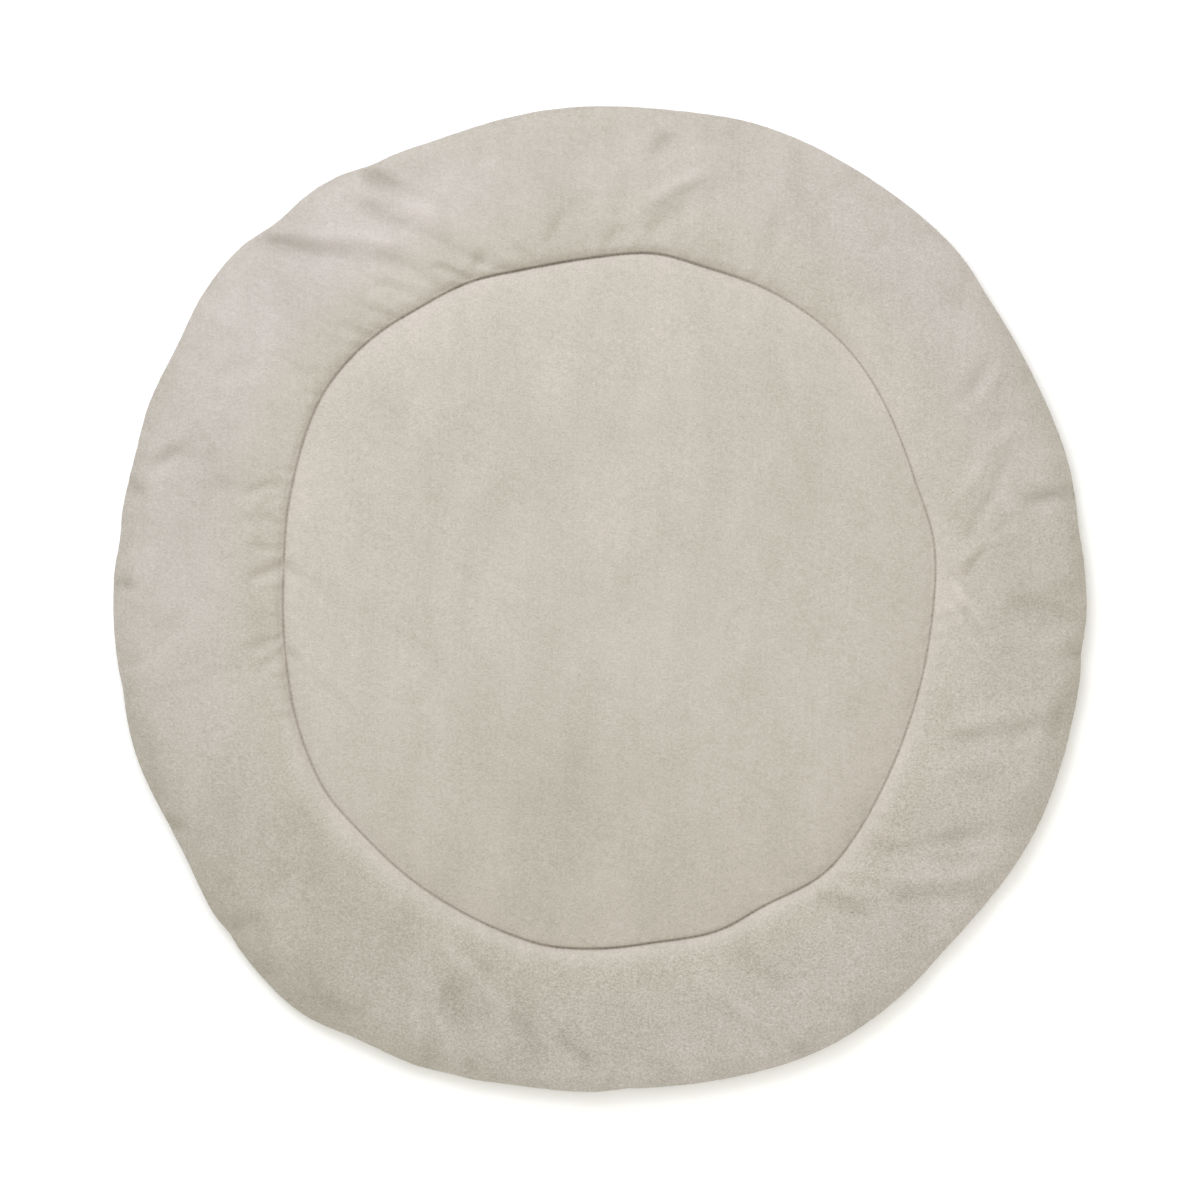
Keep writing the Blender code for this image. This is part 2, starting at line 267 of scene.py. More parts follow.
# Fine creases of the cloth, in degrees and millimetres. A ridge rises, and a trough sinks.
Crease = namedtuple("Crease", "bearing reach end_bearing end_reach rise spread")
CREASES = (
    # Upper left
    Crease(134, 452, 131, 426, -1.8, 6),
    Crease(131, 426, 126.5, 392, -0.8, 5),
    Crease(126.5, 392, 116.5, 330, -0.6, 5),
    Crease(132, 458, 126.5, 416, 1.4, 6),
    Crease(126.5, 414, 119.5, 372, 1.4, 7),
    Crease(119, 442, 116, 412, -1.7, 4.5),
    Crease(116, 416, 113.5, 398, -0.8, 4.5),
    Crease(121, 420, 117.5, 383, -1.3, 4),
    Crease(117.5, 383, 109, 325, -0.5, 4),
    Crease(121, 440, 118.5, 414, 1, 5),
    Crease(116, 402, 112.5, 374, 0.9, 7),
    Crease(125, 352, 118, 312, -0.9, 3.5),
    Crease(116.5, 340, 111.5, 314, -0.8, 3),
    Crease(119.5, 337, 116.5, 312, -0.9, 2.5),
    Crease(129.5, 350, 126, 316, -0.7, 3),
    Crease(110.5, 334, 107, 314, -0.6, 3),
    Crease(104.5, 332, 101.5, 314, -0.5, 3.5),
    Crease(133.5, 345, 131.5, 318, -0.6, 3),
    Crease(142.5, 347, 141.5, 324, -0.6, 5),
    Crease(143, 456, 143.5, 414, 0.8, 6),
    Crease(149, 400, 146, 384, -0.8, 6),
    # Left
    Crease(163.5, 430, 161, 410, -2, 6),
    Crease(163.5, 340, 159, 306, -0.8, 4),
    Crease(176.5, 320, 174, 290, -1.3, 4),
    Crease(191.5, 322, 190, 292, -0.8, 4),
    Crease(167.5, 332, 166, 298, -0.8, 4),
    Crease(171, 320, 171, 294, -0.8, 4),
    Crease(187.5, 325, 187, 294, -0.8, 4),
    Crease(178.5, 442, 178.5, 424, -2, 5),
    Crease(187.5, 442, 187.5, 428, -1.5, 5),
    Crease(179, 360, 180, 338, -0.8, 8),
    Crease(183, 408, 183.5, 380, -0.7, 7),
    Crease(160, 428, 158.5, 410, 0.9, 7),
    Crease(165.5, 446, 167, 430, -1.4, 5),
    Crease(174, 290, 176, 274, -1, 3.5),
    Crease(189.5, 290, 192, 282, -0.8, 3.5),
    Crease(173, 286, 181, 238, -0.4, 3.5),
    # Top
    Crease(84, 360, 77, 400, 1.4, 6),
    Crease(82.5, 340, 77, 372, -1.2, 6),
    Crease(83.5, 412, 81, 424, -1.4, 6),
    Crease(82.5, 444, 81.5, 428, 0.8, 5),
    Crease(88.5, 325, 86, 340, -1, 5),
    Crease(75, 452, 74, 442, -0.9, 6),
    Crease(98.5, 330, 95.5, 356, -0.8, 5),
    Crease(94, 360, 89.5, 366, -0.8, 8),
    Crease(111.5, 322, 109.5, 338, -0.8, 5),
    # Upper right
    Crease(64.5, 354, 65.5, 390, -0.7, 6),
    Crease(66.5, 432, 62.5, 396, -0.6, 7),
    Crease(42, 428, 39, 418, -1, 8),
    Crease(29, 380, 32, 416, -1, 6),
    Crease(28, 386, 30.5, 418, 0.8, 6),
    # Right
    Crease(23, 410, 21, 370, 1.2, 6),
    Crease(21, 370, 16.5, 342, 1.1, 5),
    Crease(19.5, 390, 14.5, 364, -0.8, 5),
    Crease(14.5, 364, 9.5, 334, -0.8, 4),
    Crease(13.5, 404, 12.5, 446, -2.4, 6),
    Crease(11, 382, 4, 336, -0.7, 4),
    Crease(14.5, 380, 13, 386, 0.9, 7),
    Crease(9, 372, 5.5, 322, 1, 5),
    Crease(2.5, 320, 354, 364, 1.3, 4.5),
    Crease(0, 312, 351, 359, 1.0, 5),
    Crease(359, 320, 352.5, 369, -0.3, 4),
    Crease(359.5, 380, 358, 428, -1.8, 8),
    Crease(354.5, 410, 355.5, 430, 1.3, 8),
    Crease(353.5, 444, 353.5, 430, -1.6, 4),
    Crease(343, 428, 347.5, 438, -2, 7),
    Crease(338.5, 340, 344.5, 412, -1.3, 8),
    Crease(341, 339, 346, 412, 1.2, 8),
    Crease(333.5, 345, 338.5, 400, 1, 8),
    Crease(14, 322, 13, 336, -0.8, 4),
    # Lower right
    Crease(316, 330, 326.5, 395, -1.7, 7),
    Crease(326.5, 395, 332, 438, -1.6, 8),
    Crease(312.5, 332, 316, 360, 0.9, 4),
    Crease(316, 360, 325, 430, 1.5, 8),
    Crease(306.5, 334, 310.5, 378, -1.4, 5),
    Crease(309.5, 342, 313, 366, 0.8, 4),
    Crease(315, 390, 321.5, 430, -1.7, 8),
    Crease(321.5, 430, 325, 446, -1.4, 7),
    Crease(310.5, 438, 314.5, 446, -0.9, 7),
    Crease(300.5, 438, 303.5, 438, -1.2, 5),
    Crease(300.5, 452, 302, 442, -1.2, 4),
    Crease(293.5, 438, 294.5, 454, -1.3, 5),
    # Low
    Crease(292, 340, 295.5, 392, -0.9, 6),
    Crease(284.5, 350, 290, 413, 1.3, 6),
    Crease(286.5, 376, 291, 444, -0.9, 6),
    Crease(288, 400, 290.5, 442, 0.8, 5),
    Crease(258, 384, 263, 418, -1.4, 7),
    Crease(264, 390, 268.5, 424, -1.3, 6),
    Crease(248, 368, 252.5, 410, -1.1, 7),
    Crease(241.5, 345, 248, 445, 0.8, 6),
    Crease(244.5, 356, 251.5, 436, 0.6, 4),
    Crease(244.5, 336, 256, 378, 1, 6),
    Crease(256, 378, 262, 417, 0.8, 6),
    Crease(248.5, 436, 250, 452, -1.3, 6),
    Crease(254, 430, 255, 448, -1.3, 5),
    Crease(276, 420, 278.5, 442, -0.8, 7),
    # Lower left
    Crease(207, 444, 209, 434, -1.8, 5),
    Crease(211, 425, 211, 410, -0.9, 6),
    Crease(221.5, 454, 222.5, 438, -1.4, 5),
    Crease(232.5, 442, 237, 450, -1.2, 9),
    Crease(214, 425, 218, 436, -0.8, 9),
    Crease(222, 430, 224.5, 430, -0.9, 6),
    Crease(227, 454, 229.5, 452, -1, 5),
    Crease(237, 334, 241, 376, -0.5, 9),
    # Middle
    Crease(175, 261, 203, 152, -0.22, 3.5),
    Crease(193, 282, 205, 244, -0.4, 3),
    Crease(266.5, 79, 306.5, 146, -0.25, 3.5),
    Crease(233, 152, 268.5, 160, -0.25, 3.5),
    Crease(306.5, 187, 313.5, 287, -0.25, 3.5),
    Crease(135, 210, 205, 174, -0.4, 9),
    Crease(205, 176, 231, 268, -0.4, 9),
    Crease(26, 140, 319.5, 158, -0.35, 8),
    Crease(341.5, 168, 312, 267, -0.2, 3),
    Crease(54.5, 295, 49, 265, 0.4, 5),
    Crease(50.5, 243, 37.5, 206, -0.2, 4),
)


def linear(colour):
    """Turns an sRGB hex colour into linear red, green and blue."""
    channels = [int(colour[i : i + 2], 16) / 255 for i in (1, 3, 5)]
    return tuple(
        c / 12.92 if c <= 0.04045 else ((c + 0.055) / 1.055) ** 2.4 for c in channels
    )


def length(name, description, default):
    """A length in metres that a user can change."""
    return bpy.props.FloatProperty(
        name=name, description=description, default=default, min=0, unit="LENGTH", precision=4
    )


def colour(name, description, default):
    """A colour that a user can change, given as an sRGB hex value."""
    return bpy.props.FloatVectorProperty(
        name=name, description=description, default=linear(default), subtype="COLOR", min=0, max=1
    )


class PlayMatSizes(bpy.types.PropertyGroup):
    """Real sizes of the mat's cloth, seam and pile."""

    stitch_length: length("Stitch length", "From one needle hole to the next", 5.4 * MM)
    thread_width: length("Thread width", "Thickness of the sewing thread", 0.6 * MM)
    slot_width: length("Slot width", "Width of the slot that the thread pulls in", 2.4 * MM)
    slot_depth: length("Slot depth", "Depth of the slot below its shoulders", 3.5 * MM)
    hole_depth: length("Hole depth", "Depth of a needle hole below the slot", 0.8 * MM)
    shoulder_rise: length("Shoulder rise", "How far the border stands up beside the seam", 3 * MM)
    shoulder_reach: length("Shoulder reach", "How wide the border's shoulder is", 8 * MM)
    shoulder_fall: length("Shoulder fall", "Where the shoulder has died away", 36 * MM)
    start_lower: length("Start lower", "How much lower the cloth starts before it fills", 1.5 * MM)
    swell_limit: length("Swell limit", "Furthest that the filling moves the cloth", 3 * MM)
    seam_pucker: length("Seam pucker", "Height of the small puckers beside the stitching", 1.1 * MM)
    seam_pucker_pitch: length("Seam pucker pitch", "From one to the next", 9 * MM)
    rim_pucker: length("Rim pucker", "Height of the small puckers along the rim", 0.9 * MM)
    rim_pucker_pitch: length("Rim pucker pitch", "From one to the next", 15 * MM)
    clump_height: length("Clump height", "How far clumps of pile stand up", 0.35 * MM)
    clump_pitch: length("Clump pitch", "From one clump of pile to the next", 8 * MM)
    crease_strength: bpy.props.FloatProperty(
        name="Crease strength", description="How high and deep the creases are", default=2.5, min=0
    )
    crease_width: bpy.props.FloatProperty(
        name="Crease width", description="How wide the creases are", default=1.3, min=0.1
    )
    wale_pitch: length("Wale pitch", "Distance between the knit lines", 2.6 * MM)
    pile_pitch: length("Pile pitch", "Distance between the tips of the pile", 1.6 * MM)


class PlayMatColours(bpy.types.PropertyGroup):
    """Colours of the cloth, thread and floor, and of the shade painted in the slot."""

    # Ends of the plush's tone; between and past them the tone also carries painted light and shade
    plush_dark: colour("Plush, against the nap", "Where the nap leans away", "#A29D90")
    plush_light: colour("Plush, with the nap", "Where the nap leans towards the eye", "#C3BBB2")
    # The colour of the shade painted in the slot
    slot_painted_shade: colour("Plush roots", "Where the pile opens beside the stitching", "#A59588")
    thread: colour("Thread", "Taupe sewing thread, sunk in the plush", "#A99D91")
    floor: colour("Floor", "Plain pale studio floor", "#FBFBFA")


class PlayMatStage(bpy.types.PropertyGroup):
    """The light and camera of the studio."""

    key_power: bpy.props.FloatProperty(
        name="Key power", description="Soft light from the upper left", default=29, unit="POWER"
    )
    key_size: length("Key size", "Width of the round soft light", 1.8)
    key_distance: length("Key distance", "From the soft light to the mat", 2.1)
    key_bearing: bpy.props.FloatProperty(
        name="Key bearing", default=math.radians(118), subtype="ANGLE", unit="ROTATION"
    )
    key_elevation: bpy.props.FloatProperty(
        name="Key elevation", default=math.radians(42), subtype="ANGLE", unit="ROTATION"
    )
    sky_strength: bpy.props.FloatProperty(
        name="Sky strength", description="Even light from all round", default=1.05, min=0
    )
    key_colour: colour("Key colour", "A little cool, so lit folds look cooler", "#ECEEFF")
    sky_colour: colour("Sky colour", "A little warm, so shaded folds look warmer", "#FFFEF8")
    camera_height: length("Camera height", "Straight above the mat", 5.0)


def add_node(tree, kind, inputs=None, **settings):
    """Adds a shader node with its settings, and sets or links its inputs."""
    node = tree.nodes.new("ShaderNode" + kind)
    for name, value in settings.items():
        setattr(node, name, value)
    for name, value in (inputs or {}).items():
        if isinstance(value, bpy.types.NodeSocket):
            tree.links.new(value, node.inputs[name])
        else:
            node.inputs[name].default_value = value
    return node


def share_round(rows, angles, column="share"):
    """Reads a column of a table at angles in radians."""
    bearings = np.degrees(angles) % 360
    table = [row.bearing for row in rows]
    return np.interp(bearings, table, [getattr(row, column) for row in rows], period=360)


def polar(bearing, reach):
    """A place in plan, from a bearing in degrees and a reach in millimetres."""
    angle = math.radians(bearing)
    return np.array((math.cos(angle), math.sin(angle))) * reach * MM


def smooth_step(values):
    """Runs smoothly from 0 to 1 as the values do."""
    share = np.clip(values, 0, 1)
    return share * share * (3 - 2 * share)


class SolidShape:
    """Reads the outline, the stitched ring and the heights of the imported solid."""

    def __init__(self):
        bm = bmesh.new()
        bm.from_mesh(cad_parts[SOLID].data)
        bmesh.ops.remove_doubles(bm, verts=bm.verts, dist=0.01 * MM)
        self.tree = BVHTree.FromBMesh(bm)
        bm.free()

    def height(self, x, y, side):
        """Height of the top (1) or the underside (-1), or None outside the outline."""
        hit = self.tree.ray_cast(Vector((x, y, side)), Vector((0, 0, -side)))[0]
        return None if hit is None else hit.z

    def rim(self, angle):
        """The furthest reach of the solid at an angle, and its height there."""
        out = Vector((math.cos(angle), math.sin(angle), 0))
        best = (0, 0)
        for height in RIM_HEIGHTS:
            hit = self.tree.ray_cast(out + Vector((0, 0, height)), -out)[0]
            if hit is not None:
                best = max(best, (math.hypot(hit.x, hit.y), height))
        return best

    def seam(self, angle):
        """The reach of the deepest line of the channel on the top."""
        out = math.cos(angle), math.sin(angle)
        heights = [self.height(reach * out[0], reach * out[1], 1) for reach in SEAM_REACHES]
        return SEAM_REACHES[int(np.argmin(heights))]


def smooth_round(values, passes):
    """Evens out a ring of values with their neighbours."""
    for _ in range(passes):
        values = values / 2 + (np.roll(values, 1) + np.roll(values, -1)) / 4
    return values


def steps_from_edge(rings, width):
    """Distances from an edge to each ring, up to a width."""
    places, step = [rings.first], rings.first
    while places[-1] + step < width:
        step = min(step * rings.growth, rings.widest)
        places.append(places[-1] + step)
    return [place for place in places if place < width]


def steps_across(rings, width):
    """Distances across a strip to each ring, close together along both its edges."""
    half = steps_from_edge(rings, width / 2)
    return half + [width - place for place in reversed(half)]


def square_to_disc(a, b):
    """Maps a place in a square to a disc, with even steps of angle along the square's edge."""
    if a == 0 and b == 0:
        return 0, 0
    if abs(a) > abs(b):
        reach, angle = a, math.pi / 4 * b / a
    else:
        reach, angle = b, math.pi / 2 - math.pi / 4 * a / b
    return abs(reach), angle if reach > 0 else angle + math.pi


class ClothNet:
    """The points and faces of the cloth: top, rim and underside in one closed net."""

    def __init__(self, sizes):
        self.solid = SolidShape()
        mean_seam = np.mean([self.solid.seam(angle) for angle in np.arange(0, 6.28, 0.1)])
        self.side = round(2 * math.pi * mean_seam / sizes.stitch_length / 4)
        self.spokes = 4 * self.side
        self.angles = FIRST_SPOKE + 2 * math.pi * np.arange(self.spokes) / self.spokes
        rims = np.array([self.solid.rim(angle) for angle in self.angles])
        self.seam = smooth_round(np.array([self.solid.seam(a) for a in self.angles]), 6)
        self.rim = smooth_round(rims[:, 0], 1)
        self.rim_height = smooth_round(rims[:, 1], 6)
        self.points, self.from_seam, self.sides, self.pins = [], [], [], []
        self.faces = []

    def steps(self, angles):
        """Turns angles into steps round the ring. Each whole step is a needle hole."""
        return (np.asarray(angles) - FIRST_SPOKE) / (2 * math.pi) * self.spokes % self.spokes

    def reach_at(self, ring, angles):
        """The reach of the stitched ring or the rim at any angles."""
        return np.interp(self.steps(angles), range(self.spokes), ring, period=self.spokes)

    def add(self, angle, reach, height, from_seam, side, pin):
        """Adds one point and returns its number."""
        self.points.append((reach * math.cos(angle), reach * math.sin(angle), height))
        self.from_seam.append(from_seam)
        self.sides.append(side)
        self.pins.append(pin)
        return len(self.points) - 1

    def middle(self, side):
        """Lays the square net inside the stitched ring, and returns its edge as a ring."""
        rows = []
        for i in range(self.side + 1):
            row = []
            for j in range(self.side + 1):
                reach, angle = square_to_disc(2 * i / self.side - 1, 2 * j / self.side - 1)
                seam = float(self.reach_at(self.seam, angle))
                reach *= seam - MIDDLE_MARGIN
                height = self.solid.height(reach * math.cos(angle), reach * math.sin(angle), side)
                row.append(self.add(angle, reach, height, reach - seam, side, side < 0))
            rows.append(row)
        for i in range(self.side):
            for j in range(self.side):
                face = [rows[i][j], rows[i + 1][j], rows[i + 1][j + 1], rows[i][j + 1]]
                self.faces.append(face if side > 0 else face[::-1])
        right = rows[-1][:-1]
        top = [row[-1] for row in rows[:0:-1]]
        left = rows[0][:0:-1]
        bottom = [row[0] for row in rows[:-1]]
        return right + top + left + bottom

    def ring(self, reaches, heights, side, pin):
        """Adds a ring of points, one on each spoke."""
        return [
            self.add(angle, reach, height, reach - seam, side, pin)
            for angle, reach, height, seam in zip(self.angles, reaches, heights, self.seam)
        ]

    def height(self, angle, reach, seam, rim_height, side):
        """The solid's height, with rounded shoulders over the channel of the top."""

        def solid_height(reach):
            height = self.solid.height(reach * math.cos(angle), reach * math.sin(angle), side)
            return rim_height if height is None else height

        share = (reach - seam) / SHOULDER
        if side < 0 or abs(share) >= 1:
            return solid_height(reach)
        inner, outer = solid_height(seam - SHOULDER), solid_height(seam + SHOULDER)
        dip = SHOULDER_DIP * min(1, SLACK_DIP + share_round(PULLS, angle))
        return inner + (outer - inner) * (share + 1) / 2 - dip * (1 - share**2)

    def ring_on_solid(self, reaches, side, pin=False):
        """Adds a ring that lies on the solid. Past its edge it takes the rim's height."""
        rows = zip(self.angles, reaches, self.seam, self.rim_height)
        heights = [self.height(*row, side) for row in rows]
        return self.ring(reaches, smooth_round(np.array(heights), 3), side, pin)

    def bridge(self, rings):
        """Joins each ring to the next with faces that point out of the mat."""
        for near, far in zip(rings, rings[1:]):
            for k in range(self.spokes):
                after = (k + 1) % self.spokes
                self.faces.append([near[k], far[k], far[after], near[after]])

    def build(self):
        """Lays the whole net, from the middle of the top to the middle of the underside."""
        width = self.rim - self.seam
        mean_width = width.mean()
        rings = [self.middle(1)]
        for inside in reversed(steps_from_edge(TOP_RINGS, MIDDLE_MARGIN)):
            rings.append(self.ring_on_solid(self.seam - inside, 1, pin=inside < SHOULDER))
        rings.append(self.ring_on_solid(self.seam, 1, pin=True))
        for outside in steps_across(TOP_RINGS, mean_width):
            reaches = self.seam + outside / mean_width * width
            rings.append(self.ring_on_solid(reaches, 1, pin=outside < SHOULDER))
        rings.append(self.ring(self.rim, self.rim_height + RIM_GROOVE, 1, True))
        rings.append(self.ring(self.rim - RIM_GROOVE, self.rim_height, 0, True))
        rings.append(self.ring(self.rim, self.rim_height - RIM_GROOVE, -1, True))
        for outside in reversed(steps_across(UNDERSIDE_RINGS, mean_width)):
            reaches = self.seam + outside / mean_width * width
            rings.append(self.ring_on_solid(reaches, -1, pin=True))
        rings.append(self.ring_on_solid(self.seam, -1, pin=True))
        for inside in steps_from_edge(UNDERSIDE_RINGS, MIDDLE_MARGIN):
            rings.append(self.ring_on_solid(self.seam - inside, -1, pin=True))
        rings.append(self.middle(-1))
        self.bridge(rings)


def read_points(mesh):
    """The mesh's points as rows of x, y and z."""
    flat = np.empty(len(mesh.vertices) * 3, np.float32)
    mesh.vertices.foreach_get("co", flat)
    return flat.reshape(-1, 3).astype(float)


def write_points(mesh, points):
    """Moves the mesh's points."""
    mesh.vertices.foreach_set("co", points.astype(np.float32).ravel())
    mesh.update()


def read_value(mesh, name):
    """A value that each point of the mesh carries."""
    values = np.empty(len(mesh.vertices), np.float32)
    mesh.attributes[name].data.foreach_get("value", values)
    return values.astype(float)


def write_value(mesh, name, values):
    """Gives each point of the mesh a value."""
    layer = mesh.attributes.new(name, "FLOAT", "POINT")
    layer.data.foreach_set("value", np.asarray(values, np.float32))


def select_only(piece):
    """Makes one piece the only selected and the active one."""
    bpy.ops.object.select_all(action="DESELECT")
    piece.select_set(True)
    bpy.context.view_layer.objects.active = piece


def apply_modifier(piece, name, kind, **settings):
    """Adds a modifier, gives it its settings and applies it."""
    modifier = piece.modifiers.new(name, kind)
    for setting, value in settings.items():
        setattr(modifier, setting, value)
    select_only(piece)
    bpy.ops.object.modifier_apply(modifier=name)


def weigh(piece, name, weights):
    """Gives the piece a group of points with a weight for each."""
    group = piece.vertex_groups.new(name=name)
    for i, weight in enumerate(weights):
        if weight > 0:
            group.add([i], float(weight), "REPLACE")


class Places:
    """Where each point of a mesh lies on the mat."""

    def __init__(self, mesh, net):
        self.points = read_points(mesh)
        self.angle = np.arctan2(self.points[:, 1], self.points[:, 0])
        self.reach = np.hypot(self.points[:, 0], self.points[:, 1])
        self.from_seam = read_value(mesh, FROM_SEAM)
        self.side = read_value(mesh, SIDE)
        self.on_top = np.clip(self.side, 0, 1)
        self.to_rim = net.reach_at(net.rim, self.angle) - self.reach
        self.step = net.steps(self.angle)
        self.along_seam = self.angle * float(net.seam.mean())


def mean_rise(rises, places):
    """The mean rise of the top at each distance from the seam."""
    top = places.on_top > 0.5
    bands, band = np.unique(np.round(places.from_seam[top] / BAND), return_inverse=True)
    means = np.bincount(band, rises[top]) / np.bincount(band)
    return np.interp(places.from_seam, bands * BAND, means)


def fill_with_wadding(piece, net, sizes):
    """Swells the cloth with a cloth simulation that holds the seam, rim and underside.

    The filling makes the cloth uneven, and on the whole it keeps to the solid's section.
    """
    mesh = piece.data
    places = Places(mesh, net)
    near_edge = np.minimum(np.abs(places.from_seam), places.to_rim)
    free = places.on_top * smooth_step(near_edge / (30 * MM))
    target = places.points.copy()
    started = target.copy()
    started[:, 2] -= sizes.start_lower * free
    write_points(mesh, started)
    border = smooth_step(places.from_seam / (12 * MM)) * places.on_top
    weigh(piece, "held", net.pins)
    weigh(piece, "gathered", border * share_round(GATHERS, places.angle))
    cloth = piece.modifiers.new("filling", "CLOTH")
    settings = cloth.settings
    settings.quality = 6
    settings.mass = 0.3
    settings.tension_stiffness = 20
    settings.compression_stiffness = 20
    settings.shear_stiffness = 5
    settings.bending_stiffness = 0.2
    settings.shrink_min = 0
    settings.shrink_max = -0.035
    settings.vertex_group_shrink = "gathered"
    settings.use_pressure = True
    settings.uniform_pressure_force = 4
    settings.vertex_group_mass = "held"
    settings.effector_weights.gravity = 0
    cloth.collision_settings.use_collision = False
    scene = bpy.context.scene
    for step in range(1, FRAMES + 1):
        scene.frame_set(step)
    graph = bpy.context.evaluated_depsgraph_get()
    swollen = read_points(piece.evaluated_get(graph).data)
    piece.modifiers.remove(cloth)
    moves = swollen - target
    moves[:, 2] -= mean_rise(moves[:, 2], places) * places.on_top
    far = np.linalg.norm(moves, axis=1)
    share = np.minimum(1, sizes.swell_limit / np.maximum(far, 1e-9))
    write_points(mesh, target + moves * share[:, None])
    scene.frame_set(1)


def lay_creases(places, sizes):
    """How far the fine creases lift or sink the top, and the light and shade painted on them.

    A ridge is painted lighter and a trough darker. This painted light and shade shows most on the
    creases that run along the light, which get no shade from it.
    """
    wander = np.array(
        [noise.noise_vector(Vector(point) / CREASE_WANDER_PITCH) for point in places.points]
    )
    plan = places.points[:, :2] + wander[:, :2] * CREASE_WANDER
    light = polar(AWAY_FROM_LIGHT, 1) / MM
    rises, painted_shades = np.zeros(len(plan)), np.zeros(len(plan))
    for crease in CREASES:
        start = polar(crease.bearing, crease.reach)
        run = polar(crease.end_bearing, crease.end_reach) - start
        start = start + polar(AWAY_FROM_LIGHT, SHADE_SHARE * crease.spread)
        span = np.linalg.norm(run)
        along = (plan - start) @ run / span
        across = (plan - start) @ np.array((-run[1], run[0])) / span
        spread = crease.spread * MM * sizes.crease_width
        fade = 2 * CREASE_FADE * spread
        ends = smooth_step(along / fade + 0.5) * smooth_step((span - along) / fade + 0.5)
        shape = crease.rise * ends * np.exp(-((across / spread) ** 2))
        rises += shape
        # Painted light on the ridges and painted shade in the troughs, most where they run along
        # the light
        painted_shades += shape * (run @ light / span) ** 2
    clear = smooth_step(np.abs(places.from_seam) / (3 * MM)) * places.on_top
    clear *= 1 + wander[:, 2] * CREASE_UNEVEN
    return rises * clear * sizes.crease_strength * MM, painted_shades * clear * CREASE_PAINTED_LIGHT


def noise_along(values, pitch, seed):
    """Smooth random waves of a pitch along a line, from about -1 to 1."""
    return np.array([noise.noise(Vector((value / pitch, seed, 0))) for value in values]) * 1.6


def lay_puckers(places, sizes):
    """How far the small puckers along the stitching and the rim lift or sink the top."""
    outside = places.from_seam
    beside = np.exp(-((outside / PUCKERS_OUTSIDE) ** 2)) * smooth_step(outside / (3 * MM))
    inside = np.exp(-((outside / PUCKERS_INSIDE) ** 2)) * smooth_step(-outside / BESIDE_SLOT)
    along = places.along_seam
    leaning = along - outside * share_round(GATHERS, places.angle, "lean")
    seam = noise_along(leaning, sizes.seam_pucker_pitch, SEAM_SEED) * sizes.seam_pucker
    at_rim = np.exp(-((places.to_rim / PUCKERS_BY_RIM) ** 2)) * smooth_step(places.to_rim / MM)
    rim = noise_along(along * RIM_TO_SEAM, sizes.rim_pucker_pitch, RIM_SEED) * sizes.rim_pucker
    gathered = 0.4 + share_round(GATHERS, places.angle)
    return (seam * (beside + inside / 2) + rim * at_rim) * gathered * places.on_top


def raise_shoulder(places, sizes):
    """How far the border stands up beside the stitching, where the wadding presses out."""
    outside = places.from_seam
    rise = smooth_step(outside / sizes.shoulder_reach)
    fall = 1 - smooth_step(outside / sizes.shoulder_fall)
    share = share_round(SHOULDERS, places.angle)
    return rise * fall * share * sizes.shoulder_rise * places.on_top


def paint_tone_and_light(places):
    """How light or dark each place of the top is painted: painted light and shade beside the
    stitching and by the rim, and lighter or darker by bearing inside the stitching, on the border
    and in broad patches of the middle.
    """
    outside = places.from_seam
    on_border = smooth_step(outside / BORDER_TONE) * share_round(PAINTED_TONES, places.angle, "border")
    # Painted light and shade beside the stitching and by the rim
    near = smooth_step(outside / BESIDE_SLOT) * np.exp(-np.maximum(outside, 0) / BY_SEAM_PAINTED_LIGHT)
    by_seam = near * share_round(PAINTED_TONES, places.angle, "by_seam")
    near_rim = np.exp(-((places.to_rim / BY_RIM_PAINTED_LIGHT) ** 2))
    by_rim = near_rim * share_round(PAINTED_TONES, places.angle, "by_rim")
    inside = np.exp(np.minimum(outside, 0) / INSIDE_TONE) * smooth_step(-outside / BESIDE_SLOT)
    within = inside * share_round(PAINTED_TONES, places.angle, "inside")
    patched = np.zeros(len(outside))
    for patch in PATCHES:
        away = places.points[:, :2] - polar(patch.bearing, patch.reach)
        apart = np.linalg.norm(away, axis=1) / (patch.spread * MM)
        patched += patch.lean * np.exp(-(apart**2))
    patched *= smooth_step(-outside / TONE_EDGE)
    return on_border + by_seam + by_rim + within + patched


def sink_slot(places, sizes):
    """How deep the thread pulls the cloth: a narrow slot with a needle hole at each stitch."""
    apart = np.abs(places.from_seam)
    slot = np.exp(-((apart / (sizes.slot_width / 2)) ** 3)) * sizes.slot_depth
    at_hole = (1 + np.cos(2 * math.pi * places.step)) / 2
    hole = np.exp(-((apart / (sizes.slot_width / 3)) ** 2)) * at_hole * sizes.hole_depth
    pull = share_round(PULLS, places.angle)
    return (slot * pull + hole) * np.where(places.side > 0, 1, -0.2)


def raise_clumps(mesh, places, sizes):
    """Raises soft clumps of pile, none of them in the slot or on the floor."""
    clear = smooth_step((np.abs(places.from_seam) - sizes.slot_width) / (4 * MM))
    normals = np.empty(len(mesh.vertices) * 3, np.float32)
    mesh.vertices.foreach_get("normal", normals)
    rises = [noise.noise(Vector(point) / sizes.clump_pitch) for point in places.points]
    return normals.reshape(-1, 3) * (np.array(rises) * clear * sizes.clump_height)[:, None]


